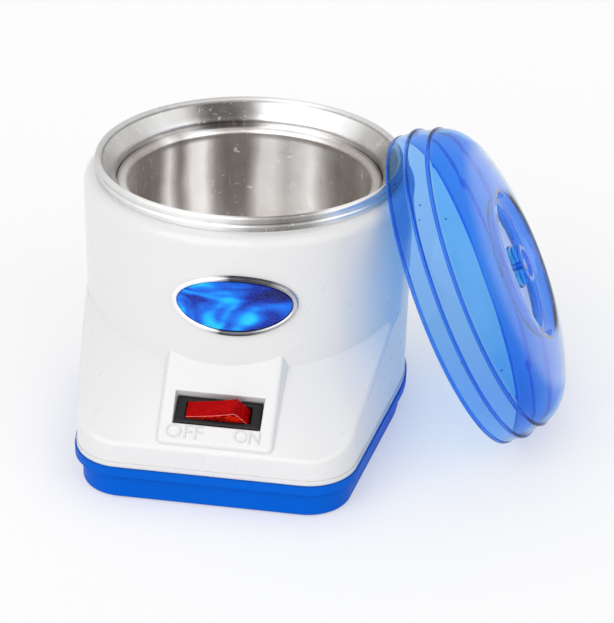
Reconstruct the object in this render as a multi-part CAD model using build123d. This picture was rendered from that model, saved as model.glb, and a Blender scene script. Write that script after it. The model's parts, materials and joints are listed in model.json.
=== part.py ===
from build123d import *
import math
import os

# Wax heater: a round pot in a white housing on a blue tray, with a leaning lid.
# Millimetres. Z is up, the pot's axis is X = Y = 0, the feet stand on Z = 0
# and the switch faces the front, which is -Y.

# ---------------------------------------------------------------- driving dimensions
GAP = 0.2                 # seam between pieces that are fixed together

BODY_R = 70.0             # housing, round part
FRONT_Y = 94.3            # front wall, measured from the pot's axis
FRONT_HALF = 58.3         # half width at the front
CORNER_R = 20.6           # plan radius of the two front corners
WALL = 2.4                # housing wall

FLOOR_Z = 0.6             # underside of the tray
TRAY_FLOOR = 2.2
BAND_Z = 12.4             # where the tray widens
TRAY_TOP = 16.4
TRAY_IN = -1.9            # lower tray wall, relative to the housing outline
BAND_OUT = 1.1            # upper tray band
TRAY_WALL = 2.0

HOUSING_Z = TRAY_TOP + GAP
LIP_H = 2.2               # raised lip around the foot of the housing
LIP_OUT = 0.4
SHOULDER_Z = 111.3
SHOULDER_R = 5.0
HOUSING_MOUTH_R = 59.5

SLOPE_TOP = (62.85, 0.155)   # height where the slope leaves the round wall: z = a + b*y
SLOPE_FOOT = (69.7, 0.45)    # height where the slope meets the side walls
FRONT_CREASE_Z = 27.0
SLOPE_WALL = 3.4             # depth of the shell under the slope, measured upright
CREASE_R = 3.0

PAD_LINE = 124.2          # the pad's face is the plane z - y = PAD_LINE
PAD_HALF = 23.0
PAD_FOOT_Z = 30.6
PAD_DRAFT = 26.0
PAD_DEPTH = 9.0
PAD_EDGE_R = 1.6

COLLAR_R = 65.0
COLLAR_TOP = 118.0
SHEET = 1.2               # collar and pot metal
GASKET_H = 0.5
THROAT_R = 56.5
LEDGE_Z = 106.1           # the pot's lip hangs here
POT_R = 51.5              # inside
POT_FLOOR_Z = 47.0        # inside
POT_CORNER = 6.0

STACK_R = 46.0            # heater plate
PLATE_T = 3.0
ELEMENT_T = 1.6
MICA_T = 0.6
CLAMP_T = 1.2
BRIDGE_TOP = 36.0
BRIDGE_T = 1.6
STUD_R = 3.0

SWITCH_X = 2.3
SWITCH_Y = -84.15
SEAT_TILT = 12.0          # the switch lies flatter than the pad, so its back edge is sunk
SEAT_DROP = 1.2
SEAT_UP = 0.86            # its middle, up the slope from the pad's middle
BEZEL = (34.9, 12.0)
BEZEL_T = 1.8
RECESS_FLARE = 6.0        # slant of the walls round the bezel
BACKING_T = 2.4
WINDOW = (26.8, 7.5)      # opening that the rocker moves in
SWITCH_BODY = (30.0, 10.2)
SWITCH_DEPTH = 12.8
WELL_DEPTH = 11.2
ROCKER_W = 6.9
ROCKER_END = [(12.4, -2.2), (12.2, 2.5), (10.9, 8.6)]    # end of its section, from the pivot
ROCKER_MID = 7.9
PIVOT_W = -4.5            # pivot, below the bezel's face
ROCKER_TILT = 18.0        # to either side of level
PIN_R = 1.0
TERMINALS = (-9.0, 0.0, 9.0)

BADGE_Z = 81.8
BADGE_TURN = 5.0          # degrees to the right of the front
BADGE_HALF = (25.5, 13.4)
BADGE_RIM = 2.4

LID_TILT = 62.8           # degrees from level, leaning on the right side
LID_RIM_R = 69.8
LID_T = 1.6
LID_X = 89.9              # middle of the leaning lid's rim
LID_Z = LID_RIM_R * math.sin(math.radians(LID_TILT))    # its rim just touches the table
RECESS_H = 28.2           # floor of the lid's finger recess

CORD_Z = 27.0
CORD_R = 3.2
CORD_TAIL = 15.0          # length of the bush's tail
CORD_SLOT_R = 5.3         # slot in the housing that the bush slides up into

TRAY_SCREWS = [(-40.5, -76.0), (40.5, -76.0), (-43.1, 43.1), (43.1, 43.1)]
FEET = [(-36.0, -62.0), (36.0, -62.0), (-38.0, 34.0), (38.0, 34.0)]
SCREW_R = 1.6
HEAD_R = 3.1
HEAD_H = 2.4

PIECES = {}


# ---------------------------------------------------------------- helpers
def cyl(r, z0, z1, x=0.0, y=0.0):
    return Pos(x, y, (z0 + z1) / 2) * Cylinder(r, z1 - z0)


def block(x0, x1, y0, y1, z0, z1):
    return Pos((x0 + x1) / 2, (y0 + y1) / 2, (z0 + z1) / 2) * Box(x1 - x0, y1 - y0, z1 - z0)


def ring(r0, r1, z0, z1, x=0.0, y=0.0):
    return cyl(r1, z0, z1, x, y) - cyl(r0, z0 - 1, z1 + 1, x, y)


def turned(points):
    """Solid of revolution about Z from (radius, height) points."""
    wire = Wire.make_polygon([Vector(r, 0, z) for r, z in points], close=True)
    return revolve(Face(wire), Axis.Z)


def arc_points(cx, cz, r, a0, a1, n=8):
    """(radius, height) points on an arc, both ends included."""
    steps = [math.radians(a0 + (a1 - a0) * i / n) for i in range(n + 1)]
    return [(cx + r * math.cos(a), cz + r * math.sin(a)) for a in steps]


def footprint(grow):
    """The housing's plan: a round back and a narrower front with two round corners."""
    big, small = BODY_R + grow, CORNER_R + grow
    cx, cy = FRONT_HALF - CORNER_R, -(FRONT_Y - CORNER_R)
    turn = math.atan2(cy, cx) + math.acos((big - small) / math.hypot(cx, cy))
    ux, uy = math.cos(turn), math.sin(turn)
    mx, my = math.cos((turn - math.pi / 2) / 2), math.sin((turn - math.pi / 2) / 2)
    back = (big * ux, big * uy)
    side = (cx + small * ux, cy + small * uy)
    front = (cx, cy - small)
    edges = [
        ThreePointArc(back, (0, big), (-back[0], back[1])),
        Line((-back[0], back[1]), (-side[0], side[1])),
        ThreePointArc((-side[0], side[1]), (-cx - small * mx, cy + small * my),
                      (-front[0], front[1])),
        Line((-front[0], front[1]), front),
        ThreePointArc(front, (cx + small * mx, cy + small * my), side),
        Line(side, back),
    ]
    return make_face(Curve() + edges)


def prism(grow, z0, z1):
    return extrude(Pos(0, 0, z0) * footprint(grow), z1 - z0)


def plan_reach(a):
    """Distance from the pot's axis to the outline, a radians round from the front."""
    dx, dy = math.sin(a), -math.cos(a)
    cx, cy = FRONT_HALF - CORNER_R, -(FRONT_Y - CORNER_R)
    turn = math.atan2(cy, cx) + math.acos((BODY_R - CORNER_R) / math.hypot(cx, cy))
    along = abs(dx) * math.cos(turn) + dy * math.sin(turn)
    reach = min(BODY_R / along if along > 0 else 1e3, FRONT_Y / -dy if dy < 0 else 1e3)
    x, y = reach * abs(dx), reach * dy
    if x > cx and y < cy:                      # the ray leaves through a round corner
        b = abs(dx) * cx + dy * cy
        reach = min(reach, b + math.sqrt(max(0.0, b * b - cx * cx - cy * cy + CORNER_R ** 2)))
    return max(reach, BODY_R)


def front_body(grow, drop):
    """The housing's front part: the outline, cut off by the slope lowered by drop."""
    rows = []
    for step in range(29):
        a = math.radians(-82 + 164 * step / 28)
        dx, dy = math.sin(a), -math.cos(a)
        reach = plan_reach(a)
        top = SLOPE_TOP[0] + SLOPE_TOP[1] * BODY_R * dy
        foot = max(FRONT_CREASE_Z, min(top, SLOPE_FOOT[0] + SLOPE_FOOT[1] * reach * dy))
        fall = (foot - top) / max(reach - BODY_R, 4.0)
        rows.append([Vector(rho * dx, rho * dy, top + fall * (rho - BODY_R) - drop)
                     for rho in (50.0, 60.0, 70.0, 80.0, 90.0, 100.0, 110.0)])
    slope = Face.make_surface_from_array_of_points(rows, tol=0.02, max_deg=3)
    under = extrude(slope, 90, dir=(0, 0, -1))
    return prism(grow, HOUSING_Z, 75) & block(-100, 100, -120, -12, 0, 100) & under


def sheet_section(points, t):
    """Closed section of a sheet: the outer line and the same line moved in by t."""
    inner = []
    for i, (r, z) in enumerate(points):
        r0, z0 = points[max(i - 1, 0)]
        r1, z1 = points[min(i + 1, len(points) - 1)]
        length = math.hypot(r1 - r0, z1 - z0)
        inner.append((r - t * (z1 - z0) / length, z + t * (r1 - r0) / length))
    return points + inner[::-1]


def bezier_points(p0, p1, p2, n):
    """Points of a quadratic curve, without its first end."""
    out = []
    for i in range(1, n + 1):
        s = i / n
        out.append(tuple((1 - s) ** 2 * a + 2 * s * (1 - s) * b + s * s * c
                         for a, b, c in zip(p0, p1, p2)))
    return out


def wire_run(points, r=0.8, bend=3.0):
    """Round wire along straight runs with rounded bends."""
    path = FilletPolyline(*points, radius=bend)
    section = Plane(origin=path @ 0, z_dir=path % 0) * Circle(r)
    return sweep(section, path=path)


def put(node, shape):
    PIECES[node] = shape


# On the pad and on the switch's seat: x to the right, y up the slope, z out of the face.
pad = Plane(origin=(SWITCH_X, SWITCH_Y, PAD_LINE + SWITCH_Y), x_dir=(1, 0, 0), z_dir=(0, -1, 1))
seat_lean = math.radians(45 + SEAT_TILT)
seat_out = Vector(0, -math.cos(seat_lean), math.sin(seat_lean))
seat_up = Vector(0, math.sin(seat_lean), math.cos(seat_lean))
seat = Plane(origin=pad.origin - pad.z_dir * SEAT_DROP + seat_up * SEAT_UP, x_dir=(1, 0, 0), z_dir=seat_out)


def on_seat(half_x, half_y, z0, z1, x=0.0, y=0.0):
    return seat * block(x - half_x, x + half_x, y - half_y, y + half_y, z0, z1)


# ---------------------------------------------------------------- tray
tray = prism(TRAY_IN, FLOOR_Z, BAND_Z + 1)
tray = fillet([e for e in tray.edges() if abs(e.center().Z - FLOOR_Z) < 0.01], 1.2)
tray += prism(BAND_OUT, BAND_Z, TRAY_TOP)
tray -= prism(TRAY_IN - TRAY_WALL, FLOOR_Z + TRAY_FLOOR, TRAY_TOP + 1)
tray += (prism(-WALL - 0.5, TRAY_TOP - 1, TRAY_TOP + 2)        # tongue inside the housing's foot
         - prism(-WALL - 2.0, TRAY_TOP - 2, TRAY_TOP + 3))
tray += cyl(24, 0, FLOOR_Z + 0.5)                       # centre plinth, level with the feet
for x, y in TRAY_SCREWS:
    tray += cyl(4.4, FLOOR_Z + 1, HOUSING_Z + 1, x, y)
for x, y in TRAY_SCREWS:
    tray -= cyl(HEAD_R + 0.3, FLOOR_Z - 1, 13.0, x, y)
    tray -= cyl(SCREW_R + 0.3, 10.0, 20.0, x, y)
for x, y in FEET:
    tray -= cyl(6.3, FLOOR_Z - 1, FLOOR_Z + 0.8, x, y)
boss_y = BODY_R + 1.4                                   # flat boss for the cord's bush
tab = block(-CORD_SLOT_R + GAP, CORD_SLOT_R - GAP, BODY_R - WALL - 1, boss_y - GAP, TRAY_TOP - 2, CORD_Z)
tray += tab - Pos(0, boss_y, CORD_Z) * Rot(90, 0, 0) * Cylinder(CORD_SLOT_R, 30)
for i in range(9):
    for y in (-48.0, 47.0):
        if y < 0 or abs(i - 4) < 3:
            x = (i - 4) * 7.0
            tray -= block(x - 1.5, x + 1.5, y - 8, y + 8, FLOOR_Z - 1, FLOOR_Z + TRAY_FLOOR + 0.2)
put("base_tray", tray)

put("rubber_feet", Compound([cyl(6.0, 0, FLOOR_Z + 0.8, x, y) for x, y in FEET]))
put("tray_screws", Compound([cyl(HEAD_R, 13.0 - HEAD_H, 13.0, x, y) + cyl(SCREW_R, 12.9, 26.0, x, y)
                             for x, y in TRAY_SCREWS]))

# ---------------------------------------------------------------- housing
round_part = turned([(0, HOUSING_Z), (BODY_R, HOUSING_Z)]
                    + arc_points(BODY_R - SHOULDER_R, SHOULDER_Z - SHOULDER_R, SHOULDER_R, 0, 90)
                    + [(0, SHOULDER_Z)])
base_part = front_body(0, 0)
crease = [e for e in base_part.edges()
          if e.geom_type != GeomType.LINE and abs((e @ 0).Z - HOUSING_Z) > 1
          and math.hypot(e.center().X, e.center().Y) > BODY_R + 1]
base_part = fillet(crease, CREASE_R)
housing = round_part + base_part
housing += prism(LIP_OUT, HOUSING_Z, HOUSING_Z + LIP_H)

pad_low = (PAD_FOOT_Z - (PAD_LINE + SWITCH_Y)) * math.sqrt(2)
pad_high = 21.0 * math.sqrt(2)
pad_block = extrude(pad * Pos(0, (pad_low + pad_high) / 2, 0)
                    * RectangleRounded(2 * PAD_HALF, pad_high - pad_low, 2.0),
                    -PAD_DEPTH, taper=-PAD_DRAFT)
pad_block = fillet(pad_block.faces().sort_by(Axis(pad.origin, pad.z_dir))[-1].edges(), PAD_EDGE_R)
housing += pad_block - cyl(BODY_R - 1, 0, 120)

inside = turned([(0, HOUSING_Z - 1), (BODY_R - WALL, HOUSING_Z - 1),
                 (BODY_R - WALL, SHOULDER_Z - WALL - 2), (BODY_R - WALL - 2, SHOULDER_Z - WALL),
                 (0, SHOULDER_Z - WALL)])
inside += front_body(-WALL, SLOPE_WALL) + prism(-WALL, HOUSING_Z - 1, HOUSING_Z + 1)
housing -= inside
housing -= cyl(HOUSING_MOUTH_R, SHOULDER_Z - 10, SHOULDER_Z + 5)

for x, y in TRAY_SCREWS:                                # screw posts and their ribs
    if y < 0:
        post = cyl(4.2, HOUSING_Z + 1.2, 50, x, y) & front_body(-1, 1.5)
        s = math.copysign(1, x)
        rib = block(min(x, x + 14 * s), max(x, x + 14 * s), y - 1, y + 1, HOUSING_Z + 5, 26)
        rib = rib & prism(-1, 0, 75)
    else:
        post = cyl(4.2, HOUSING_Z + 1.2, 33, x, y)
        rib = Rot(0, 0, math.degrees(math.atan2(y, x))) * block(61, BODY_R - 1, -1, 1, HOUSING_Z + 5, 33)
    housing += post + rib
    housing -= cyl(SCREW_R + 0.05, HOUSING_Z, 28, x, y)
for s in (-1, 1):                                       # posts that the bridge pulls up against
    x = 63.2 * s
    post = cyl(4.2, BRIDGE_TOP, 60, x, 0)
    rib = block(min(x, 69 * s), max(x, 69 * s), -1.2, 1.2, BRIDGE_TOP, 60)
    housing += post + rib
    housing -= cyl(SCREW_R + 0.05, BRIDGE_TOP - 1, BRIDGE_TOP + 13, x, 0)

housing += Pos(0, boss_y - 3.4, CORD_Z) * Rot(90, 0, 0) * Cylinder(9.0, 6.8)
housing -= Pos(0, boss_y, CORD_Z) * Rot(90, 0, 0) * Cylinder(CORD_SLOT_R, 30)
housing -= block(-CORD_SLOT_R, CORD_SLOT_R, BODY_R - 10, boss_y + 5, HOUSING_Z - 1, CORD_Z)

housing += on_seat(BEZEL[0] / 2 + 3, 6.75, -BEZEL_T - BACKING_T, 0, y=2.75)     # backing under the bezel
housing -= extrude(seat * Pos(0, 0, -BEZEL_T) * Rectangle(BEZEL[0] + 0.6, BEZEL[1] + 0.6), 8,
                   taper=-RECESS_FLARE)
housing -= on_seat(SWITCH_BODY[0] / 2 + 0.2, SWITCH_BODY[1] / 2 + 0.2, -15, 5)
put("housing_shell", housing)

bush = turned([(CORD_R + 0.7, -9.0), (6.8, -9.0), (6.8, -6.9), (5.1, -6.9), (5.1, 0.1), (7.6, 0.1),
               (7.6, 1.2), (6.8, 1.8), (6.0, 1.8), (4.7, CORD_TAIL), (CORD_R, CORD_TAIL),
               (CORD_R, 1.0), (CORD_R + 0.7, 0.3)])
for i in range(4):                                      # flex slots across the tail
    for turn in (0, 90):
        z = 4.0 + 2.6 * i + (1.3 if turn else 0.0)
        bush -= Rot(0, 0, turn) * (block(-8, 8, CORD_R + 0.8, 8, z - 0.4, z + 0.4)
                                   + block(-8, 8, -8, -CORD_R - 0.8, z - 0.4, z + 0.4))
put("cord_bush", Pos(0, boss_y, CORD_Z) * Rot(-90, 0, 0) * bush)

# ---------------------------------------------------------------- collar and pot
collar_foot = SHOULDER_Z + GASKET_H
bead = arc_points(63.9, COLLAR_TOP - 1.1, 1.1, 0, 130, 7)
collar = turned([(63.7, collar_foot), (COLLAR_R, collar_foot), (COLLAR_R, 114.0), (64.6, 114.3),
                 (64.6, 114.8), (COLLAR_R, 115.1)] + bead
                + [(THROAT_R, 110.2), (THROAT_R, LEDGE_Z), (54.6, LEDGE_Z), (54.6, LEDGE_Z - SHEET),
                   (THROAT_R + SHEET, LEDGE_Z - SHEET), (THROAT_R + SHEET, 109.7), (62.7, 115.4),
                   (63.7, 115.9)])
put("rim_collar", collar)
put("collar_gasket", ring(61.5, 64.8, SHOULDER_Z, collar_foot))

lip_top = LEDGE_Z + SHEET
pot_outer = POT_R + SHEET
pot_under = POT_FLOOR_Z - SHEET
pot = turned([(0, pot_under)]
             + arc_points(POT_R - POT_CORNER, POT_FLOOR_Z + POT_CORNER, POT_CORNER + SHEET, -90, 0)
             + arc_points(pot_outer + 1.5, LEDGE_Z - 1.5, 1.5, 180, 90, 4)
             + [(THROAT_R - 0.4, LEDGE_Z), (THROAT_R - 0.4, lip_top)]
             + arc_points(POT_R + 2.5, lip_top - 2.5, 2.5, 90, 180, 5)
             + arc_points(POT_R - POT_CORNER, POT_FLOOR_Z + POT_CORNER, POT_CORNER, 0, -90)
             + [(0, POT_FLOOR_Z)])
put("wax_pot", pot)

# ---------------------------------------------------------------- heater stack under the pot
z = pot_under
STACK_HOLE = STUD_R + 0.4
put("heater_plate", ring(STACK_HOLE, STACK_R, z - PLATE_T, z))
z -= PLATE_T
TABS = [math.radians(-20), math.radians(144.2)]
TAB_R = 44.4
element = cyl(41, z - ELEMENT_T, z)
for a in TABS:
    element += Rot(0, 0, math.degrees(a)) * block(35, 47, -3, 3, z - ELEMENT_T, z)
element -= cyl(STACK_HOLE, z - 10, z + 1)
put("heating_element", element)
z -= ELEMENT_T
element_under = z
put("mica_sheet", ring(STACK_HOLE, 40.5, z - MICA_T, z))
z -= MICA_T
put("clamp_plate", ring(STACK_HOLE, 39.5, z - CLAMP_T, z))
clamp_under = z - CLAMP_T
put("stud_spacer", ring(STACK_HOLE, 6.0, BRIDGE_TOP, clamp_under))
put("pot_stud", cyl(STUD_R, 24.0, pot_under))
bridge_under = BRIDGE_TOP - BRIDGE_T
bridge = block(-66.0, 66.0, -8, 8, bridge_under, BRIDGE_TOP)
bridge -= cyl(STACK_HOLE, 30, 40)
for x in (-63.2, 63.2):
    bridge -= cyl(SCREW_R + 0.3, 30, 40, x, 0)
put("support_bridge", bridge)
put("bridge_screws", Compound([cyl(HEAD_R, bridge_under - HEAD_H, bridge_under, x, 0)
                               + cyl(SCREW_R, bridge_under - 0.1, BRIDGE_TOP + 11, x, 0)
                               for x in (-63.2, 63.2)]))
put("stud_washer", ring(STUD_R + 0.1, 6.5, bridge_under - 1.0, bridge_under))
nut = extrude(Pos(0, 0, bridge_under - 6.0) * RegularPolygon(5.7, 6), 5.0) - cyl(STUD_R + 0.05, 20, 40)
put("stud_nut", nut)

shield = ring(57.0, 57.8, BRIDGE_TOP, 103.5) + ring(50.0, 57.4, BRIDGE_TOP, BRIDGE_TOP + 0.8)
put("heat_shield", shield)
put("insulation_sleeve", ring(pot_outer + 0.5, 56.6, 54, 100))

# ---------------------------------------------------------------- thermostat and thermal fuse
TX, TY = 18.0, -25.0
put("thermostat_cap", cyl(8.2, clamp_under - 2.4, clamp_under, TX, TY))
put("thermostat_body", cyl(7.6, 27.0, clamp_under - 2.4, TX, TY))
put("thermostat_blades", Compound([block(TX + d - 0.4, TX + d + 0.4, TY - 3, TY + 3, 20.0, 27.0)
                                   for d in (-4.5, 4.5)]))
FX, FY, FZ = -20.0, 26.0, clamp_under - 2.4
fuse = Pos(FX, FY, FZ) * Rot(0, 90, 0) * (Cylinder(2.0, 11) + Cylinder(0.5, 18))
put("thermal_fuse", fuse)
saddle = block(FX - 2.5, FX + 2.5, FY - 7, FY + 7, clamp_under - 0.8, clamp_under)
saddle += block(FX - 2.5, FX + 2.5, FY - 3, FY + 3, clamp_under - 5.2, clamp_under - 0.4)
saddle -= Pos(FX, FY, FZ) * Rot(0, 90, 0) * Cylinder(2.1, 20)
put("fuse_saddle", saddle)

# ---------------------------------------------------------------- switch
frame = on_seat(BEZEL[0] / 2, BEZEL[1] / 2, -BEZEL_T, 0)
frame = chamfer(frame.faces().sort_by(Axis(seat.origin, seat.z_dir))[-1].edges(), 0.5)
frame += on_seat(SWITCH_BODY[0] / 2, SWITCH_BODY[1] / 2, -SWITCH_DEPTH, -1)
frame -= on_seat(WINDOW[0] / 2, WINDOW[1] / 2, -WELL_DEPTH, 5)
frame -= seat * Pos(0, 0, PIVOT_W) * Rot(90, 0, 0) * Cylinder(PIN_R + 0.03, 14)
for x in TERMINALS:
    frame -= on_seat(0.5, 2.6, -15, -10, x=x)
put("switch_frame", frame)
put("rocker_pin", seat * Pos(0, 0, PIVOT_W) * Rot(90, 0, 0) * Cylinder(PIN_R, 9.9))
blade_top, blade_end = 0.2 - WELL_DEPTH, -SWITCH_DEPTH - 7.0
put("switch_blades", Compound([on_seat(0.4, 2.4, blade_end, blade_top, x=x) for x in TERMINALS]))
socket_top, socket_end = -SWITCH_DEPTH - 2.0, -SWITCH_DEPTH - 10.0
put("spade_sockets", Compound([on_seat(1.3, 3.2, socket_end, socket_top, x=x)
                               - on_seat(0.5, 2.5, blade_end - 0.2, socket_top + 1, x=x)
                               for x in TERMINALS]))
put("indicator_lamp", seat * Pos(0, 0, 1.5 - WELL_DEPTH) * Rot(90, 0, 0) * Cylinder(1.2, 5.4))

# Rocker: its section lies across the pivot, drawn level and then turned to the off side.
section = [(0, -3.0)] + ROCKER_END + [(0, ROCKER_MID)] + [(-x, y) for x, y in ROCKER_END[::-1]]
rocker_plane = Plane(origin=seat.origin + seat.z_dir * PIVOT_W, x_dir=seat.x_dir, z_dir=-seat.y_dir)
outline = Wire.make_polygon([Vector(x, y) for x, y in section], close=True)
rocker = extrude(rocker_plane * Face(outline), ROCKER_W / 2, both=True)
rocker -= rocker_plane * Cylinder(PIN_R + 0.35, 20)
pivot = Axis(rocker_plane.origin, seat.y_dir)
put("switch_rocker", rocker.rotate(pivot, -ROCKER_TILT))

# ---------------------------------------------------------------- badge
def badge_oval(shrink, r0, r1):
    oval = Pos(0, 0, BADGE_Z) * Rot(90, 0, 0) * Ellipse(BADGE_HALF[0] - shrink, BADGE_HALF[1] - shrink)
    tool = extrude(oval, 90)
    return Rot(0, 0, BADGE_TURN) * (tool & ring(r0, r1, BADGE_Z - 30, BADGE_Z + 30))


put("badge_frame", badge_oval(0, BODY_R + 0.15, BODY_R + 1.7)
    - badge_oval(BADGE_RIM, BODY_R - 1, BODY_R + 3))
put("badge_plate", badge_oval(BADGE_RIM + 0.15, BODY_R + 0.15, BODY_R + 1.1))

# ---------------------------------------------------------------- terminal block and wiring
BX, BY, BZ = 15.0, 38.0, FLOOR_Z + TRAY_FLOOR
block_body = block(-BX, BX, BY - 8, BY + 8, BZ, BZ + 12)
for x in (-10.0, 0.0, 10.0):
    block_body -= Pos(x, BY, BZ + 5) * Rot(90, 0, 0) * Cylinder(2.1, 30)
    block_body -= cyl(2.0, BZ + 8, BZ + 20, x, BY)
put("terminal_block", block_body)
put("terminal_screws", Compound([cyl(1.9, BZ + 8, BZ + 11, x, BY) for x in (-10.0, 0.0, 10.0)]))



def lead(terminal, run):
    """Point on a wire, run below the end of a switch socket."""
    return seat.origin + seat.x_dir * TERMINALS[terminal] + seat.z_dir * (socket_end - 0.1 - run)


low = BZ + 5
entry = BY - 4
put("wire_live", wire_run([lead(0, 0), lead(0, 10), (-12, -40, low + 2), (-10, 18, low), (-10, entry, low)]))
put("wire_switch", wire_run([lead(1, 0), lead(1, 9), (TX - 4.5, TY - 12, 12), (TX - 4.5, TY, 12),
                             (TX - 4.5, TY, 19.9)]))
hx, hy = TAB_R * math.cos(TABS[0]), TAB_R * math.sin(TABS[0])
put("wire_element", wire_run([(TX + 4.5, TY, 19.9), (TX + 4.5, TY, 13), (hx, hy, 13),
                              (hx, hy, element_under)]))
put("wire_neutral", wire_run([(-1, entry, low), (-1, 20, low), (-4, 20, 20), (-4, FY, FZ),
                              (FX + 9.1, FY, FZ)], bend=2.5))
ex, ey = TAB_R * math.cos(TABS[1]), TAB_R * math.sin(TABS[1])
put("wire_fuse", wire_run([(FX - 9.1, FY, FZ), (ex, ey, FZ), (ex, ey, element_under)], bend=1.5))
put("wire_earth", wire_run([(10, entry, low), (10, 14, low), (26, 3, low + 4), (26, 3, bridge_under)]))
put("wire_lamp", wire_run([lead(2, 0), lead(2, 11), (4, -40, low - 1), (4, 14, low - 1), (1, 22, low),
                           (1, entry, low)]))

# ---------------------------------------------------------------- lid, built rim down and then leaned
dome = [(66.6, 16.4), (67.4, 16.8), (67.4, 17.6), (66.4, 18.3)]
dome += bezier_points((66.4, 18.3), (64.6, 24.6), (57.0, 28.1), 7)
dome += bezier_points((57.0, 28.1), (46.0, 32.4), (33.8, 33.6), 8)
lid_line = [(LID_RIM_R, 0), (LID_RIM_R, 1.3), (69.3, 1.7), (69.3, 7.9), (70.0, 8.3), (70.0, 9.2),
            (68.8, 9.8)] + dome
recess = [(32.7, 33.3), (32.0, 32.4), (31.6, RECESS_H + 1.2), (30.4, RECESS_H), (2.2, RECESS_H)]
lid_shell = turned(sheet_section(lid_line + recess, LID_T))
knob = turned([(9.4, RECESS_H), (9.4, RECESS_H + 1.2), (8.2, RECESS_H + 1.7),
               (8.0, RECESS_H + 4.4), (7.2, RECESS_H + 5.2), (4.2, RECESS_H + 5.2), (3.6, RECESS_H + 4.4),
               (0, RECESS_H + 4.4), (0, RECESS_H + 3.2), (1.7, RECESS_H + 3.2), (1.7, RECESS_H)])
under = RECESS_H - LID_T
knob_screw = turned([(0, under - 1.8), (2.6, under - 1.8), (3.8, under), (1.6, under), (1.6, RECESS_H + 3.0),
                     (0, RECESS_H + 3.0)])
lean = Pos(LID_X, 0, LID_Z) * Rot(0, LID_TILT, 0)
put("lid_shell", lean * lid_shell)
put("lid_knob", lean * knob)
put("lid_knob_screw", lean * knob_screw)

os.makedirs("parts", exist_ok=True)
for node, shape in PIECES.items():
    export_step(shape, f"parts/{node}.step")
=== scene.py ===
import json
import math

import bmesh
import bpy
from mathutils import Matrix, Vector


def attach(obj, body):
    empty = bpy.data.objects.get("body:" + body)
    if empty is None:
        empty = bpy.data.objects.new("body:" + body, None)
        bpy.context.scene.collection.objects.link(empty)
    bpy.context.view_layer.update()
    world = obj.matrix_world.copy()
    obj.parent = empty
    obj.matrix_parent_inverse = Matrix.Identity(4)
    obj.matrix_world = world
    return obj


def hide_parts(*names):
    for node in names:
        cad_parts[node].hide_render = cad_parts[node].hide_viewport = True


# A wax heater dressed for the studio: white housing on a blue tray, metal pot and collar,
# red rocker switch, oval badge and a clear blue lid that leans on the right side.
# Shapes are written in millimetres and turned into metres by MM; finishes work in metres.

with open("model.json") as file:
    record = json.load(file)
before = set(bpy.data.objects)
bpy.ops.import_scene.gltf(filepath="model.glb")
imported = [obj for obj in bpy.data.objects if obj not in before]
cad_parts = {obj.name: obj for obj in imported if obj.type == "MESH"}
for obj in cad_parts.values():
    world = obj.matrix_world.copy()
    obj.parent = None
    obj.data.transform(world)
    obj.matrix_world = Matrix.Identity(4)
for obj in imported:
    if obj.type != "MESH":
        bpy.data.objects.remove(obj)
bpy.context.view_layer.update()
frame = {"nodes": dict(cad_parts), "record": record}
nodes = frame["nodes"]
MM = 0.001
FULL_TURN = 2 * math.pi
UNMOVED = Matrix.Identity(4)

# The leaning lid: degrees off level, the middle of its open end and its axis, in metres.
LID_TILT = 62.8
LID_MIDDLE = (0.0899, 0.0, 0.0620813)
LID_AXIS = (math.sin(math.radians(LID_TILT)), 0.0, math.cos(math.radians(LID_TILT)))

# The switch lies flatter than the raised pad round it. Directions up a slope are (y, z).
PAD_MIDDLE = (2.3, -84.15, 40.05)
PAD_UP = (math.sqrt(0.5), math.sqrt(0.5))
SEAT_MIDDLE = (2.3, -82.5802, 39.6699)
SEAT_UP = (0.838671, 0.544639)
ROCKER_FRONT = (0.0, -SEAT_UP[0], -SEAT_UP[1])

# The oval badge: degrees it is turned right of the front, its middle and its half sizes.
BADGE_TURN = 5.0
BADGE_X, BADGE_Z = 6.2, 81.8
BADGE_HALF_WIDE, BADGE_HALF_HIGH = 25.5, 13.4


# ------------------------------------------------------------------ shader helpers
# A Mix node keeps its colour sockets behind those for numbers and vectors.
MIX_FACTOR, MIX_A, MIX_B, MIX_RESULT = 0, 6, 7, 2


class Wire:
    """One node output. Arithmetic on it adds Math nodes."""

    def __init__(self, nodes, socket):
        self.nodes, self.socket = nodes, socket

    def math(self, operation, *values, clamp=False):
        settings = {"operation": operation, "use_clamp": clamp}
        return self.nodes.node("ShaderNodeMath", settings, dict(enumerate(values)))

    def __add__(self, other):
        return self.math("ADD", self, other)

    def __sub__(self, other):
        return self.math("SUBTRACT", self, other)

    def __rsub__(self, other):
        return self.math("SUBTRACT", other, self)

    def __mul__(self, other):
        return self.math("MULTIPLY", self, other)

    def __truediv__(self, other):
        return self.math("DIVIDE", self, other)

    def __pow__(self, other):
        return self.math("POWER", self, other)

    __radd__ = __add__
    __rmul__ = __mul__

    def clamped(self):
        return self.math("ADD", self, 0.0, clamp=True)

    def between(self, low, high):
        """0 below low, 1 above high, and a soft step from one to the other."""
        return self.nodes.node("ShaderNodeMapRange", {"interpolation_type": "SMOOTHSTEP"},
                               {"Value": self, "From Min": low, "From Max": high})


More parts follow.
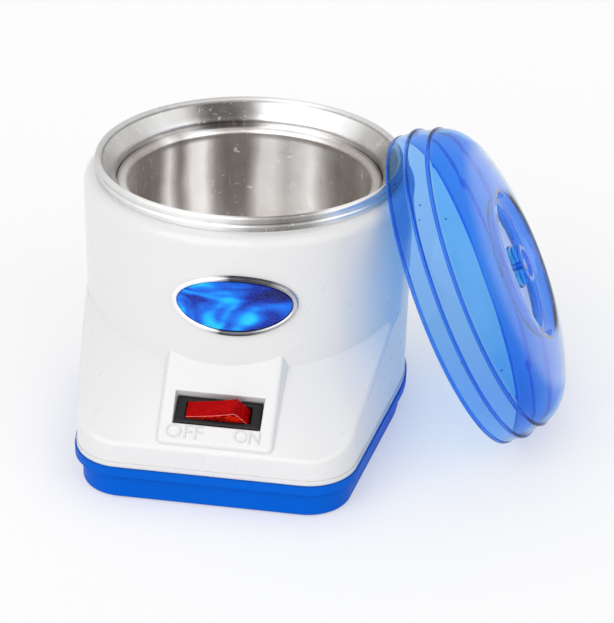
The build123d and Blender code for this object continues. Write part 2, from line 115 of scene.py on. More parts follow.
class Nodes:
    """Adds nodes to one emptied node tree."""

    def __init__(self, tree):
        self.tree = tree
        tree.nodes.clear()

    def node(self, kind, settings=None, inputs=None, output=0):
        """A node with its settings first and then its sockets, as the Wire of one output."""
        node = self.tree.nodes.new(kind)
        settings = dict(settings or {})
        stops = settings.pop("stops", None)
        for name, value in settings.items():
            setattr(node, name, value)
        if stops:
            while len(node.color_ramp.elements) < len(stops):
                node.color_ramp.elements.new(0.5)
            for element, (position, color) in zip(node.color_ramp.elements, stops):
                element.position, element.color = position, color
        for key, value in (inputs or {}).items():
            if isinstance(value, Wire):
                self.tree.links.new(value.socket, node.inputs[key])
            else:
                node.inputs[key].default_value = value
        return Wire(self, node.outputs[output]) if node.outputs else None

    def seen(self):
        """1 for what the camera sees, straight or in gloss or through glass."""
        rays = [self.node("ShaderNodeLightPath", output=f"Is {kind} Ray")
                for kind in ("Camera", "Glossy", "Transmission")]
        return sum(rays).clamped()


class Finish(Nodes):
    """A node material around one Principled BSDF."""

    def __init__(self, slot, **constants):
        self.slot = slot
        self.material = bpy.data.materials.new(slot)
        self.material.use_nodes = True
        super().__init__(self.material.node_tree)
        self.gloss = self.node("ShaderNodeBsdfPrincipled")
        self.shader = self.gloss.socket.node
        for name, value in constants.items():
            self.shader.inputs[name.replace("_", " ")].default_value = value
        self.end = self.tree.nodes.new("ShaderNodeOutputMaterial").inputs["Surface"]
        self.tree.links.new(self.gloss.socket, self.end)
        self.place = self.node("ShaderNodeTexCoord", output="Object")

    def along(self, index):
        """The place along X, Y or Z (0, 1 or 2), in metres."""
        return self.node("ShaderNodeSeparateXYZ", inputs={0: self.place}, output=index)

    def noise(self, scale, detail, stretch=(1, 1, 1), twist=0.0):
        """Soft noise; scale counts blotches per metre."""
        spot = self.node("ShaderNodeMapping", inputs={"Vector": self.place, "Scale": stretch})
        return self.node("ShaderNodeTexNoise", inputs={"Vector": spot, "Scale": scale,
                                                       "Detail": detail, "Distortion": twist})

    def specks(self, scale, size):
        """Small round dots, 1 inside and soft over the outer third."""
        far = self.node("ShaderNodeTexVoronoi", inputs={"Vector": self.place, "Scale": scale})
        return 1 - far.between(size * 0.7, size)

    def vector(self, operation, a, b=(0, 0, 0), output=0):
        return self.node("ShaderNodeVectorMath", {"operation": operation}, {0: a, 1: b}, output)

    def axial(self, centre, axis):
        """Height along an axis and distance from it, in metres."""
        arm = self.vector("SUBTRACT", self.place, centre)
        height = self.vector("DOT_PRODUCT", arm, axis, "Value")
        reach = self.vector("LENGTH", arm, output="Value")
        return height, (reach ** 2 - height ** 2) ** 0.5

    def turns(self, across, up):
        """Share of a full turn: 0 along the first direction and 0.25 along the second."""
        return across.math("FRACT", across.math("ARCTAN2", up, across) / FULL_TURN + 1.0)

    def tones(self, where, stops):
        """Grey level read off a row of (place, level) pairs."""
        stops = [(place, rgb(level, level, level)) for place, level in stops]
        return self.node("ShaderNodeValToRGB", {"stops": stops}, {0: where})

    def mix(self, factor, a, b):
        return self.node("ShaderNodeMix", {"data_type": "RGBA"},
                         {MIX_FACTOR: factor, MIX_A: a, MIX_B: b}, MIX_RESULT)

    def bump(self, height, depth, edge=0.0):
        """Normal with surface relief, depth in metres, and edges softened by edge metres."""
        inputs = {"Height": height, "Distance": depth}
        if edge:
            inputs["Normal"] = self.node("ShaderNodeBevel", {"samples": 4}, {"Radius": edge})
        return self.node("ShaderNodeBump", inputs=inputs)

    def feed(self, **sockets):
        """Links to the shader's own sockets, with _ for the spaces in their names."""
        for name, wire in sockets.items():
            self.tree.links.new(wire.socket, self.shader.inputs[name.replace("_", " ")])


def rgb(r, g, b):
    return (r, g, b, 1.0)


def shade(color, factor):
    return rgb(*[min(1.0, c * factor) for c in color[:3]])


# ------------------------------------------------------------------ finishes
def moulded(slot, color, rough, cloud, grain, edge=0.0, **constants):
    """Moulded plastic, rubber or ceramic: faint clouding and a fine skin."""
    f = Finish(slot, **constants)
    fog = f.noise(35, 3)
    skin = f.noise(900, 3)
    f.feed(Base_Color=f.mix(fog, shade(color, 1 - cloud), shade(color, 1 + cloud)),
           Roughness=rough * 0.85 + f.noise(140, 4) * (rough * 0.3),
           Normal=f.bump(skin, grain, edge))
    return f


def sheet_metal(slot, color, rough, streak, stretch=(1, 1, 1)):
    """Bare metal with rolled grain, fine scratches and dull patches."""
    f = Finish(slot, Metallic=1.0)
    rolled = f.noise(260, 4, stretch=stretch)
    dull = f.noise(50, 4)
    scratch = f.noise(1500, 2, stretch=(1, 0.04, 1), twist=0.4).between(0.62, 0.72)
    f.feed(Base_Color=f.mix(rolled, shade(color, 1 - streak), shade(color, 1 + streak)),
           Roughness=rough * 0.7 + dull * (rough * 0.6) + scratch * 0.08,
           Normal=f.bump(rolled + scratch * 0.4, 0.00002))
    return f


def white_abs():
    """Glossy white housing."""
    f = Finish("white_plastic", Specular_IOR_Level=0.5, Coat_Weight=0.25, Coat_Roughness=0.12)
    fog = f.noise(14, 3)
    f.feed(Base_Color=f.mix(fog, rgb(0.672, 0.670, 0.675), rgb(0.702, 0.699, 0.702)),
           Roughness=0.24 + f.noise(90, 4) * 0.10,
           Normal=f.bump(f.noise(420, 3), 0.00001, 0.0006))
    return f


def tray_blue():
    """Satin royal blue tray."""
    f = Finish("blue_plastic", Specular_IOR_Level=0.05)
    fog = f.noise(22, 3)
    f.feed(Base_Color=f.mix(fog, rgb(0.000, 0.095, 0.52), rgb(0.000, 0.108, 0.58)),
           Roughness=0.34 + f.noise(120, 4) * 0.12,
           Normal=f.bump(f.noise(600, 3), 0.00001, 0.0005))
    return f


# Painted reflections: pale and dark streaks round the pot's wall, the collar's funnel and
# its rolled rim, as (place, level) pairs. The place counts turns from +X over the back.
WALL_REFLECTIONS = [
    (0.00, 0.10), (0.05, 0.05), (0.10, 0.04), (0.14, 0.14), (0.165, 0.50), (0.186, 0.92),
    (0.206, 0.74), (0.225, 0.60), (0.246, 0.80), (0.264, 0.74), (0.283, 0.14), (0.310, 0.12),
    (0.325, 0.36), (0.342, 1.00), (0.361, 0.92), (0.380, 0.28), (0.399, 0.86), (0.419, 0.16),
    (0.445, 0.03), (0.47, 0.00), (0.52, 0.25), (0.60, 0.50), (0.68, 0.30), (0.76, 0.50),
    (0.84, 0.25), (0.91, 0.40), (1.00, 0.10)]
FUNNEL_REFLECTIONS = [
    (0.00, 0.16), (0.055, 0.14), (0.083, 0.38), (0.111, 0.44), (0.139, 0.80), (0.170, 0.98),
    (0.235, 0.98), (0.256, 0.74), (0.276, 0.18), (0.296, 0.00), (0.326, 0.00), (0.338, 0.10),
    (0.361, 0.58), (0.389, 0.76), (0.417, 0.64), (0.444, 0.50), (0.475, 0.52), (0.50, 0.46),
    (0.528, 0.36), (0.556, 0.42), (0.60, 0.50), (0.72, 0.60), (0.87, 0.55), (1.00, 0.16)]
RIM_REFLECTIONS = [
    (0.00, 0.40), (0.12, 0.60), (0.22, 0.80), (0.30, 0.50), (0.42, 0.55), (0.53, 0.50),
    (0.61, 0.70), (0.66, 0.84), (0.72, 1.00), (0.75, 0.90), (0.778, 0.36), (0.806, 0.14),
    (0.835, 0.26), (0.862, 0.90), (0.89, 0.88), (0.92, 0.66), (0.95, 0.34), (1.00, 0.40)]
# Painted reflections: dark and pale arcs round the badge's ring, from its right end over the top.
RING_REFLECTIONS = [
    (0.00, 0.62), (0.06, 0.48), (0.12, 0.30), (0.155, 0.06), (0.26, 0.03), (0.285, 0.55),
    (0.31, 1.00), (0.66, 1.00), (0.695, 0.60), (0.712, 0.06), (0.80, 0.10), (0.85, 0.40),
    (0.93, 0.52), (1.00, 0.62)]

# Where one zone of the bowl passes into the next: distances from the axis, then heights.
WALL_SKIN, FUNNEL_FOOT = (0.0520, 0.0526), (0.0556, 0.0566)
RIM_FOOT, RIM_CREST = (0.0616, 0.0621), (0.0621, 0.0627)
WALL_FOOT, WALL_TOP = (0.052, 0.075), (0.1020, 0.1045)

# The same for the lid: heights above its open end, then distances from its axis.
DOME_FOOT, FACE_FOOT = (0.0175, 0.0190), (0.0235, 0.0280)
RECESS_FLOOR, KNOB_FOOT = (0.0275, 0.0282), (0.0282, 0.0286)
FACE_EDGE, RECESS_EDGE, KNOB_EDGE = (0.0500, 0.0575), (0.0318, 0.0336), (0.0092, 0.0098)


def spun_aluminium():
    """Spun sheet: painted reflections as soft dark and pale streaks round the bowl, a painted
    glow on the pot's inner wall, painted shade at the rim's foot, turning marks and scratches.
    """
    f = Finish("spun_aluminium", Metallic=1.0, Anisotropic=0.3, Emission_Strength=0.60)
    height, reach = f.axial((0, 0, 0), (0, 0, 1))
    where = f.turns(f.along(0), f.along(1)) + (f.noise(30, 2) - 0.5) * 0.02
    wall, funnel, rim = (f.tones(where, row) for row in (WALL_REFLECTIONS, FUNNEL_REFLECTIONS, RIM_REFLECTIONS))
    on_funnel, on_rim = reach.between(*FUNNEL_FOOT), reach.between(*RIM_FOOT)
    # Painted shade: edge darkens the crease at the foot of the rolled rim.
    edge = on_rim * (1 - reach.between(*RIM_CREST))
    # Painted reflections: the streak tables for the wall, the funnel and the rim, taken by zone.
    reflection_tone = (wall * (1 - on_funnel) + funnel * on_funnel) * (1 - on_rim) + rim * on_rim
    rings = f.noise(2600, 2, stretch=(0.02, 0.02, 1))
    scuff = f.noise(420, 5, stretch=(1, 1, 0.12), twist=1.2).between(0.62, 0.70)
    hairs = f.noise(900, 2, stretch=(0.15, 1, 0.5), twist=0.6).between(0.67, 0.71)
    cloud = f.noise(160, 4) - 0.5
    level = (reflection_tone - edge * 0.35 + cloud * 0.14 + (rings - 0.5) * 0.08).clamped()
    # Dark end of the painted reflections, darker on the funnel.
    reflection_dark = f.mix(on_funnel, rgb(0.39, 0.350, 0.32), rgb(0.11, 0.10, 0.093))
    reflections_and_rings = f.mix(level, reflection_dark, rgb(0.97, 0.965, 0.96))
    inside = height.between(*WALL_FOOT) * (1 - height.between(*WALL_TOP)) * (1 - on_funnel)
    # Painted glow: pale streaks and scratches on the pot's inner wall shine through the emission.
    painted_glow = level ** 2 + hairs * 0.25 + scuff * 0.08
    painted_glow = painted_glow * inside * (1 - reach.between(*WALL_SKIN))
    f.feed(Base_Color=f.mix((scuff * 0.2 + hairs * 0.35).clamped(), reflections_and_rings, rgb(0.95, 0.94, 0.93)),
           Emission_Color=f.mix(painted_glow.clamped(), rgb(0, 0, 0), rgb(1.0, 0.985, 0.97)),
           Roughness=0.24 + f.noise(70, 4) * 0.14 + rings * 0.06,
           Normal=f.bump(rings + hairs * 0.6, 0.00002))
    return f


def clear_blue():
    """Clear blue moulding: shiny face, paler recess, deeper knob, with a few specks."""
    f = Finish("lid_blue", Transmission_Weight=1.0, IOR=1.12, Coat_Roughness=0.02, Coat_IOR=1.9)
    height, reach = f.axial(LID_MIDDLE, LID_AXIS)
    dome = height.between(*DOME_FOOT)
    face = height.between(*FACE_FOOT) * (1 - reach.between(*FACE_EDGE))
    recess = height.between(*RECESS_FLOOR) * (1 - reach.between(*RECESS_EDGE))
    knob = height.between(*KNOB_FOOT) * (1 - reach.between(*KNOB_EDGE))
    cloud = f.noise(18, 3, twist=0.8)
    dots = f.specks(75, 0.045)
    tint = f.mix(dome, rgb(0.22, 0.48, 0.93), rgb(0.09, 0.40, 0.94))
    tint = f.mix(cloud.between(0.35, 0.65) * 0.35, tint, rgb(0.24, 0.56, 0.97))
    tint = f.mix(recess, tint, rgb(0.34, 0.56, 0.95))
    tint = f.mix(knob, tint, rgb(0.05, 0.42, 0.97))
    f.feed(Base_Color=f.mix(dots, tint, rgb(0.02, 0.04, 0.35)),
           Coat_Weight=0.06 + face * (0.46 + cloud * 0.25),
           Roughness=0.02 + f.noise(40, 3) * 0.05,
           Normal=f.bump(f.noise(60, 2), 0.00006))
    return f


def red_lens():
    """Clear red moulding over a ribbed inside: calm on top, mottled in front, a painted
    highlight along its front edge and a faint painted glow in the red.
    """
    f = Finish("red_lens", IOR=1.45, Specular_IOR_Level=0.06, Emission_Strength=0.10)
    normal = f.node("ShaderNodeNewGeometry", output="Normal")
    front = f.vector("DOT_PRODUCT", normal, ROCKER_FRONT, "Value")
    # Painted highlight: faces turned between the top and the front get a pale pink line.
    edge = front.between(0.25, 0.45) * (1 - front.between(0.72, 0.90))
    mottle = f.noise(330, 4, twist=1.5)
    blob = f.noise(150, 2).between(0.58, 0.70)
    top = f.mix(mottle.between(0.30, 0.70), rgb(0.28, 0.0, 0.001), rgb(0.38, 0.001, 0.001))
    low = f.mix(mottle.between(0.42, 0.58), rgb(0.09, 0.0, 0.0), rgb(0.62, 0.012, 0.003))
    red = f.mix(blob * 0.5, f.mix(front.between(0.80, 0.95), top, low), rgb(0.10, 0.0, 0.0))
    red = f.mix(edge * 0.8, red, rgb(0.85, 0.22, 0.20))
    # The red, pale edge included, also feeds a faint emission: a painted glow, not a lamp.
    f.feed(Base_Color=red, Emission_Color=red,
           Roughness=0.16 + mottle * 0.12,
           Normal=f.bump(mottle, 0.00003))
    return f


def badge_foil():
    """Printed foil under clear resin: slow bands from royal blue to cyan."""
    f = Finish("badge_foil", Specular_IOR_Level=0.2, Coat_Weight=0.2, Coat_Roughness=0.03)
    drift = (f.along(0) - 0.004) * 3.2
    flow = f.noise(38, 2, stretch=(0.7, 0.7, 1.6), twist=1.4) - drift
    bands = [(0.28, rgb(0.0, 0.002, 0.11)), (0.42, rgb(0.0, 0.020, 0.34)),
             (0.52, rgb(0.0, 0.130, 0.74)), (0.60, rgb(0.0, 0.42, 0.92)),
             (0.66, rgb(0.02, 0.62, 0.90)), (0.76, rgb(0.0, 0.10, 0.55))]
    band = f.node("ShaderNodeValToRGB", {"stops": bands}, {0: flow})
    flake = f.specks(1800, 0.30)
    f.feed(Base_Color=f.mix(flake * 0.2, band, rgb(0.20, 0.55, 0.90)),
           Roughness=0.22 + flow * 0.2,
           Metallic=flake * 0.5,
           Normal=f.bump(f.noise(300, 2), 0.00001))
    return f


def badge_chrome():
    """Bright plated ring, with painted reflections as dark and pale arcs round it."""
    f = Finish("badge_chrome", Metallic=1.0)
    across = (f.along(0) - BADGE_X * MM) / (BADGE_HALF_WIDE * MM)
    up = (f.along(2) - BADGE_Z * MM) / (BADGE_HALF_HIGH * MM)
    reflection_tone = f.tones(f.turns(across, up), RING_REFLECTIONS)
    f.feed(Base_Color=f.mix(reflection_tone, rgb(0.03, 0.03, 0.04), rgb(0.97, 0.97, 0.98)),
           Roughness=0.10 + f.noise(300, 3) * 0.10,
           Normal=f.bump(f.noise(500, 2), 0.00001))
    return f


def mica_board():
    """Pressed flakes."""
    f = Finish("mica", Specular_IOR_Level=0.6)
    flake = f.node("ShaderNodeTexVoronoi", inputs={"Vector": f.place, "Scale": 420.0},
                   output="Color")
    grey = f.node("ShaderNodeRGBToBW", inputs={0: flake})
    f.feed(Base_Color=f.mix(grey, rgb(0.50, 0.42, 0.30), rgb(0.74, 0.67, 0.52)),
           Roughness=0.30 + grey * 0.3,
           Normal=f.bump(grey, 0.00004))
    return f


def fibre_wool():
    """Soft white blanket of long strands."""
    f = Finish("fibre_wool", Sheen_Weight=0.4)
    strands = f.noise(700, 5, stretch=(1, 1, 3), twist=2.0)
    f.feed(Base_Color=f.mix(strands, rgb(0.62, 0.60, 0.53), rgb(0.90, 0.88, 0.82)),
           Roughness=0.85 + strands * 0.15,
           Normal=f.bump(strands, 0.0004))
    return f


def lamp_glass():
    """Glow lamp, warm in places."""
    f = Finish("lamp_glass", Transmission_Weight=0.8, IOR=1.5)
    glow = f.noise(400, 2)
    f.feed(Base_Color=f.mix(glow, rgb(0.95, 0.55, 0.35), rgb(0.98, 0.75, 0.60)),
           Roughness=0.04 + glow * 0.06)
    return f


FINISHES = {f.slot: f for f in (
    white_abs(), tray_blue(), clear_blue(), spun_aluminium(), red_lens(), badge_foil(),
    badge_chrome(), mica_board(), fibre_wool(), lamp_glass(),
    # slot, colour, roughness, streak and the grain's stretch
    sheet_metal("sheet_aluminium", rgb(0.76, 0.76, 0.76), 0.34, 0.08, (1, 1, 0.05)),
    sheet_metal("cast_aluminium", rgb(0.62, 0.62, 0.61), 0.48, 0.14),
    sheet_metal("zinc_steel", rgb(0.66, 0.67, 0.68), 0.36, 0.12, (0.1, 1, 1)),
    sheet_metal("brass", rgb(0.78, 0.58, 0.26), 0.30, 0.10),
    # slot, colour, roughness, clouding, depth of the grain and softened edge
    moulded("black_rubber", rgb(0.020, 0.020, 0.021), 0.75, 0.20, 0.00005, 0.0003),
    moulded("silicone", rgb(0.70, 0.70, 0.67), 0.50, 0.05, 0.00002, 0.0002,
            Subsurface_Weight=0.1),
    moulded("black_nylon", rgb(0.010, 0.009, 0.009), 0.42, 0.25, 0.00002, 0.0002,
            Specular_IOR_Level=0.25),
    moulded("cream_nylon", rgb(0.74, 0.69, 0.56), 0.45, 0.06, 0.00002, 0.0003),
    moulded("white_ceramic", rgb(0.82, 0.80, 0.75), 0.22, 0.05, 0.00001, 0.0002,
            Coat_Weight=0.4),
    moulded("wire_red", rgb(0.52, 0.02, 0.015), 0.42, 0.12, 0.00002),
    moulded("wire_black", rgb(0.025, 0.025, 0.026), 0.42, 0.20, 0.00002),
    moulded("wire_green", rgb(0.10, 0.36, 0.06), 0.42, 0.12, 0.00002),
    moulded("wire_white", rgb(0.78, 0.76, 0.70), 0.70, 0.10, 0.00005))}

for part in frame["record"]["subparts"]:
    solid = nodes[part["node"]]
    solid.data.materials.clear()
    solid.data.materials.append(FINISHES[part["material_slot"]].material)


# ------------------------------------------------------------------ mesh helpers
WELD = 1e-7               # metres within which points become one
CREASE = 38               # degrees between faces that stay sharp
SPUN_STEPS = 256
OVAL_STEPS = 96
CORNER_STEPS = 6


def piece(name, points, faces, body, slot, node, place):
    """A mesh from points in millimetres, put in place, riding a body and standing for a node."""
    bm = bmesh.new()
    verts = [bm.verts.new(place @ (Vector(p) * MM)) for p in points]
    for face in faces:
        bm.faces.new([verts[i] for i in face])
    bmesh.ops.remove_doubles(bm, verts=bm.verts, dist=WELD)
    bmesh.ops.recalc_face_normals(bm, faces=bm.faces)
    mesh = bpy.data.meshes.new(name)
    bm.to_mesh(mesh)
    bm.free()
    obj = bpy.data.objects.new(name, mesh)
    bpy.context.scene.collection.objects.link(obj)
    return dress(obj, body, slot, node)


def dress(obj, body, slot, node=None, crease=CREASE):
    """Smooth shading with sharp edges, a finish, a body and the node that it stands for."""
    mesh = obj.data
    mesh.shade_smooth()
    mesh.set_sharp_from_angle(angle=math.radians(crease))
    mesh.materials.clear()
    mesh.materials.append(FINISHES[slot].material)
    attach(obj, body)
    if node:
        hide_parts(node)
    return obj


def spun(name, line, body, slot, node, place=UNMOVED, steps=SPUN_STEPS):
    """A piece turned about Z from a closed (radius, height) line."""
    points = []
    for i in range(steps):
        a = FULL_TURN * i / steps
        points += [(r * math.cos(a), r * math.sin(a), z) for r, z in line]
    n = len(line)
    faces = []
    for here, there in ((i * n, (i + 1) % steps * n) for i in range(steps)):
        faces += [(here + j, there + j, there + (j + 1) % n, here + (j + 1) % n)
                  for j in range(n)]
    return piece(name, points, faces, body, slot, node, place)


def lofted(name, loops, body, slot, node, place, caps=True):
    """Skin over closed loops of the same number of points."""
    n = len(loops[0])
    points = [p for loop in loops for p in loop]
    faces = [(k * n + i, k * n + (i + 1) % n, (k + 1) * n + (i + 1) % n, (k + 1) * n + i)
             for k in range(len(loops) - 1) for i in range(n)]
    if caps:
        faces += [tuple(range(n)), tuple(range(len(points) - n, len(points)))]
    return piece(name, points, faces, body, slot, node, place)


def rounded(line, radii, steps, closed=True):
    """The line with its corners turned to arcs, one radius for each point."""
    out = []
    for i, here in enumerate(line):
        p = Vector(here)
        if (not closed and i in (0, len(line) - 1)) or not radii[i]:
            out.append(tuple(p))
            continue
        a, b = Vector(line[i - 1]) - p, Vector(line[(i + 1) % len(line)]) - p
        cut = min(radii[i] / math.tan(a.angle(b) / 2), a.length * 0.48, b.length * 0.48)
        start, end = p + a.normalized() * cut, p + b.normalized() * cut
        for s in (k / steps for k in range(steps + 1)):
            out.append(tuple((1 - s) ** 2 * start + 2 * s * (1 - s) * p + s * s * end))
    return out


def curve_line(p0, p1, p2, steps):
    """Quadratic curve, without its first point."""
    return [tuple((1 - s) ** 2 * a + 2 * s * (1 - s) * b + s * s * c
                  for a, b, c in zip(p0, p1, p2))
            for s in (i / steps for i in range(1, steps + 1))]


def arc_line(x, z, r, a0, a1, steps):
    """Points of an arc round x, z, from a0 to a1 degrees."""
    return [(x + r * math.cos(math.radians(a)), z + r * math.sin(math.radians(a)))
            for a in (a0 + (a1 - a0) * i / steps for i in range(steps + 1))]


def inward(line, t):
    """The same line moved in by a wall thickness."""
    out = []
    for i, (r, z) in enumerate(line):
        r0, z0 = line[max(i - 1, 0)]
        r1, z1 = line[min(i + 1, len(line) - 1)]
        length = math.hypot(r1 - r0, z1 - z0) or 1.0
        out.append((r - t * (z1 - z0) / length, z + t * (r1 - r0) / length))
    return out


def slab_loop(hx, hy, r, z):
    """Rounded rectangle at height z, from its half sizes."""
    x, y = hx - r, hy - r
    loop = []
    for cx, cy, a0 in ((x, y, 0), (-x, y, 90), (-x, -y, 180), (x, -y, 270)):
        loop += [(px, py, z) for px, py in arc_line(cx, cy, r, a0, a0 + 90, CORNER_STEPS)]
    return loop


# ------------------------------------------------------------------ collar and pot
collar_line = (
    [(63.7, 111.8)] + arc_line(64.7, 112.1, 0.3, -90, 0, 3)
    + [(65.0, 113.7), (64.75, 114.0), (64.55, 114.3), (64.55, 114.75), (64.75, 115.05),
       (65.0, 115.4)] + arc_line(63.9, 116.9, 1.1, 0, 140, 12)
    + [(61.4, 115.65), (58.4, 112.25)] + curve_line((57.6, 111.4), (56.5, 110.2), (56.5, 108.6), 6)
    + [(56.5, 106.5), (56.3, 106.1), (54.6, 106.1), (54.6, 104.9), (57.2, 104.9),
       (57.7, 105.3), (57.7, 109.7), (62.7, 115.4), (63.7, 115.9)])
spun("collar_spun", collar_line, "heater", "spun_aluminium", "rim_collar")

pot_line = (
    [(0, 45.8)] + arc_line(45.5, 53, 7.2, -90, 0, 10)
    + [(52.7, 80), (52.7, 103)] + arc_line(54.2, 104.6, 1.5, 180, 90, 6)
    + [(55.6, 106.1), (56.1, 106.4), (56.1, 107.0), (55.7, 107.3)]
    + arc_line(54.0, 104.8, 2.5, 90, 180, 10)
    + [(51.5, 100), (51.5, 80), (51.5, 60)] + arc_line(45.5, 53, 6, 0, -90, 10)
    + [(30, 47.0), (29, 47.25), (12, 47.25), (11, 47.0), (0, 47.0)])
spun("pot_drawn", pot_line, "heater", "spun_aluminium", "wax_pot")

# ------------------------------------------------------------------ lid
LID_WALL = 1.6
lean = Matrix.Translation(LID_MIDDLE) @ Matrix.Rotation(math.radians(LID_TILT), 4, "Y")
skirt = rounded([(69.8, 0), (69.8, 1.3), (69.3, 1.7), (69.3, 7.9), (70.0, 8.3), (70.0, 9.2),
                 (68.8, 9.8), (66.6, 16.4), (67.4, 16.8), (67.4, 17.6), (66.4, 18.3)],
                [0, 0.3, 0.4, 0.5, 0.4, 0.5, 1.2, 0.5, 0.4, 0.4, 0], 4, closed=False)
dome = curve_line((66.4, 18.3), (64.6, 24.6), (57.0, 28.1), 14)
dome += curve_line((57.0, 28.1), (46.0, 32.4), (33.8, 33.6), 14)
recess = rounded([dome[-1], (32.6, 33.3), (31.9, 32.2), (30.9, 29.4), (28.2, 28.2), (2.2, 28.2)],
                 [0, 0.8, 1.5, 3.0, 5.0, 0], 5, closed=False)[1:]
lid_out = skirt + dome + recess
lid_in = inward(lid_out, LID_WALL)[::-1]
spun("lid_dome", lid_out + lid_in, "lid", "lid_blue", "lid_shell", lean)

knob_line = rounded([(1.7, 28.2), (9.4, 28.2), (9.4, 28.9), (8.4, 29.2), (8.3, 32.9),
                     (7.8, 33.4), (6.8, 33.4), (6.3, 32.8), (6.0, 31.9), (2.6, 31.9),
                     (2.3, 32.6), (0.0, 32.6), (0.0, 31.4), (1.7, 31.4)],
                    [0, 0] + [0.3] * 9 + [0, 0, 0], 4)
spun("lid_knob_turned", knob_line, "lid", "lid_blue", "lid_knob", lean, steps=96)


# ------------------------------------------------------------------ switch
def facing(origin, up):
    """Place whose Z looks out of a slope, with Y running up it."""
    return Matrix.Translation(Vector(origin) * MM) @ Matrix((
        (1, 0, 0, 0), (0, up[0], -up[1], 0), (0, up[1], up[0], 0), (0, 0, 0, 1)))


pad = facing(PAD_MIDDLE, PAD_UP)
seat = facing(SEAT_MIDDLE, SEAT_UP)

shank = [slab_loop(15.0, 5.1, 0.3, -12.8), slab_loop(15.0, 5.1, 0.3, -1.8)]
bezel = [slab_loop(17.45, 6.0, 0.3, -1.8), slab_loop(17.45, 6.0, 0.3, -0.45),
         slab_loop(17.35, 5.9, 0.3, -0.2), slab_loop(17.1, 5.65, 0.3, 0.0),
         slab_loop(13.65, 4.0, 0.35, 0.0), slab_loop(13.48, 3.83, 0.3, -0.1),
         slab_loop(13.4, 3.75, 0.3, -0.3), slab_loop(13.4, 3.75, 0.3, -11.2)]
lofted("switch_bezel", shank + bezel, "heater", "black_nylon", "switch_frame", seat)

ROCKER_END = (12.4, -2.2)     # half length and height at the foot of its end walls
ROCKER_HALF_HIGH = 3.45
RIBS = (3, 4, 7, 8, 11)       # steps of an end wall that are pressed in
RIB_DEPTH = 0.3
PIVOT_DEPTH = 4.5
OFF_TILT = -18                # degrees off level with the OFF side pressed in
end_wall = curve_line(ROCKER_END, (12.4, 3.2), (10.9, 8.6), 14)
ribbed = [ROCKER_END] + [(x - (RIB_DEPTH if i in RIBS else 0), z)
                         for i, (x, z) in enumerate(end_wall)]
saddle = [(x, 7.9 + 0.7 * (x / 10.9) ** 2) for x in range(8, -9, -2)]
side = [(0, -3.0)] + ribbed + saddle + [(-x, z) for x, z in ribbed[::-1]]
pressed = (seat @ Matrix.Translation((0, 0, -PIVOT_DEPTH * MM))
           @ Matrix.Rotation(math.radians(OFF_TILT), 4, "Y"))
rocker = lofted("rocker_cap", [[(x, y, z) for x, z in side]
                               for y in (-ROCKER_HALF_HIGH, ROCKER_HALF_HIGH)],
                "rocker", "red_lens", "switch_rocker", pressed)
soft = rocker.modifiers.new("edges", "BEVEL")
soft.width, soft.segments = 0.25 * MM, 3
soft.limit_method, soft.angle_limit = "ANGLE", math.radians(40)

WORD_CREASE = 30
WORD_FOOT = 0.05              # how far a word's own middle stands off the pad
WORD_RISE = 10.0              # millimetres for each unit of the letters' extrusion


def raised_word(word, x, y, wide, high):
    """A word moulded on the pad, centred at x, y."""
    curve = bpy.data.curves.new(word, "FONT")
    curve.body, curve.align_x, curve.align_y = word, "CENTER", "CENTER"
    curve.size, curve.offset, curve.extrude = 1.0, -0.022, 0.03
    curve.bevel_depth, curve.bevel_resolution = 0.012, 2
    shape = bpy.data.objects.new(word, curve)
    bpy.context.scene.collection.objects.link(shape)
    bpy.context.view_layer.update()
    filled = shape.evaluated_get(bpy.context.evaluated_depsgraph_get())
    mesh = bpy.data.meshes.new_from_object(filled)
    bpy.data.objects.remove(shape)
    xs, ys = [v.co.x for v in mesh.vertices], [v.co.y for v in mesh.vertices]
    scale = Vector((wide / (max(xs) - min(xs)), high / (max(ys) - min(ys)), WORD_RISE)) * MM
    middle = Vector(((max(xs) + min(xs)) / 2, (max(ys) + min(ys)) / 2, 0))
    for v in mesh.vertices:
        v.co = pad @ (Vector((x, y, WORD_FOOT)) * MM + (v.co - middle) * scale)
    obj = bpy.data.objects.new("word_" + word.lower(), mesh)
    bpy.context.scene.collection.objects.link(obj)
    return dress(obj, "heater", "white_plastic", crease=WORD_CREASE)


raised_word("OFF", -12.6, -8.75, 15.1, 5.5)
raised_word("ON", 13.0, -8.6, 10.6, 5.0)


# ------------------------------------------------------------------ badge
def oval_loop(shrink, r, scale=1.0):
    """Oval laid on a round wall of radius r, in from the badge's outline by shrink."""
    wide, high = (BADGE_HALF_WIDE - shrink) * scale, (BADGE_HALF_HIGH - shrink) * scale
    loop = []
    for i in range(OVAL_STEPS):
        a = FULL_TURN * i / OVAL_STEPS
        x = wide * math.cos(a)
        loop.append((x, -math.sqrt(r * r - x * x), BADGE_Z + high * math.sin(a)))
    return loop


# Both outlines are (shrink, radius) pairs, and the face swells a little to its middle.
RIM_OUTLINE = [(0.0, 70.15), (0.05, 70.8), (0.3, 71.3), (0.7, 71.6), (1.2, 71.7), (1.7, 71.6),
               (2.1, 71.3), (2.3, 70.9), (2.4, 70.15), (0.0, 70.15)]
FACE_OUTLINE = [(2.55, 70.15), (2.55, 70.8), (2.65, 71.0)]
FACE_SWELL = 0.1
turned = Matrix.Rotation(math.radians(BADGE_TURN), 4, "Z")
ring = [oval_loop(shrink, r) for shrink, r in RIM_OUTLINE]
lofted("badge_ring", ring, "heater", "badge_chrome", "badge_frame", turned, caps=False)
face = [oval_loop(shrink, r) for shrink, r in FACE_OUTLINE]
face += [oval_loop(2.7, 71.0 + FACE_SWELL * (1 - s * s), s)
         for s in (0.95, 0.85, 0.7, 0.5, 0.3, 0.12)]
lofted("badge_face", face, "heater", "badge_foil", "badge_plate", turned)

# ------------------------------------------------------------------ studio
FLOOR_SIZE = 30
FLOOR_GLOW = 0.40         # share of plain white in what the camera sees of the floor
PLAIN_LIGHT = 0.71        # the world's light on matt surfaces; 1 is what is seen of it
WHITE = rgb(1, 1, 1)

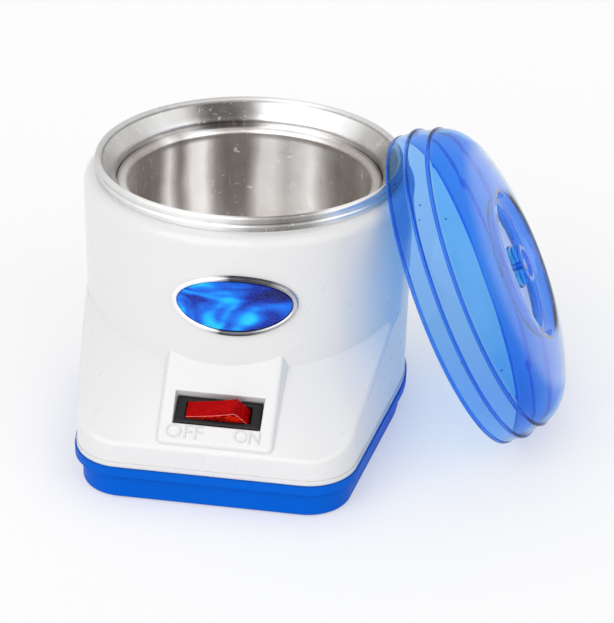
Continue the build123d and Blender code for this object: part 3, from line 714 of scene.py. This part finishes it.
paper = Finish("floor", Specular_IOR_Level=0.0)
paper.feed(Base_Color=paper.mix(paper.noise(3, 2), rgb(0.955, 0.955, 0.957),
                                rgb(0.965, 0.965, 0.967)),
           Roughness=0.9 + paper.noise(40, 2) * 0.05)
glow = paper.node("ShaderNodeEmission", inputs={"Color": WHITE, "Strength": 1.0})
lit = paper.node("ShaderNodeMixShader",
                 inputs={0: paper.seen() * FLOOR_GLOW, 1: paper.gloss, 2: glow})
paper.tree.links.new(lit.socket, paper.end)
bpy.ops.mesh.primitive_grid_add(x_subdivisions=8, y_subdivisions=8, size=FLOOR_SIZE)
floor = bpy.context.object
floor.name = "floor"
floor.data.materials.append(paper.material)

world = bpy.data.worlds.new("studio")
bpy.context.scene.world = world
world.use_nodes = True
studio = Nodes(world.node_tree)
sky_strength = PLAIN_LIGHT + (1 - PLAIN_LIGHT) * studio.seen()
sky = studio.node("ShaderNodeBackground", inputs={"Color": WHITE, "Strength": sky_strength})
studio.node("ShaderNodeOutputWorld", inputs={"Surface": sky})


def sun(name, direction, strength, angle):
    """A lamp that shines along a direction, soft over an angle in degrees."""
    lamp = bpy.data.lights.new(name, "SUN")
    lamp.energy, lamp.angle = strength, math.radians(angle)
    obj = bpy.data.objects.new(name, lamp)
    obj.rotation_euler = Vector(direction).to_track_quat("-Z", "Y").to_euler()
    bpy.context.scene.collection.objects.link(obj)


sun("key", (0.40, 0.88, -0.60), 1.35, 60)
sun("fill", (-0.85, 0.70, -0.60), 0.48, 50)

# ------------------------------------------------------------------ camera
# Angles are given in degrees, lens and sensor in millimetres and the rest in metres.
AZIMUTH, ELEVATION, ROLL = (math.radians(angle) for angle in (7.555, 28.245, 1.57))
LENS, SENSOR, NEAR = 101.565, 36.0, 0.01
TARGET, DISTANCE = (0.026006, 0, 0.044402), 0.772099
back = Vector((math.sin(AZIMUTH) * math.cos(ELEVATION),
               -math.cos(AZIMUTH) * math.cos(ELEVATION), math.sin(ELEVATION)))
right = Vector((0, 0, 1)).cross(back).normalized()
above = back.cross(right)
right, above = (right * math.cos(ROLL) + above * math.sin(ROLL),
                above * math.cos(ROLL) - right * math.sin(ROLL))
camera_data = bpy.data.cameras.new("camera")
camera_data.lens, camera_data.sensor_width, camera_data.clip_start = LENS, SENSOR, NEAR
camera = bpy.data.objects.new("camera", camera_data)
turned_to = Matrix((right, above, back)).transposed().to_4x4()
camera.matrix_world = Matrix.Translation(Vector(TARGET) + back * DISTANCE) @ turned_to
bpy.context.scene.collection.objects.link(camera)
bpy.context.scene.camera = camera
bpy.context.scene.view_settings.view_transform = "Standard"
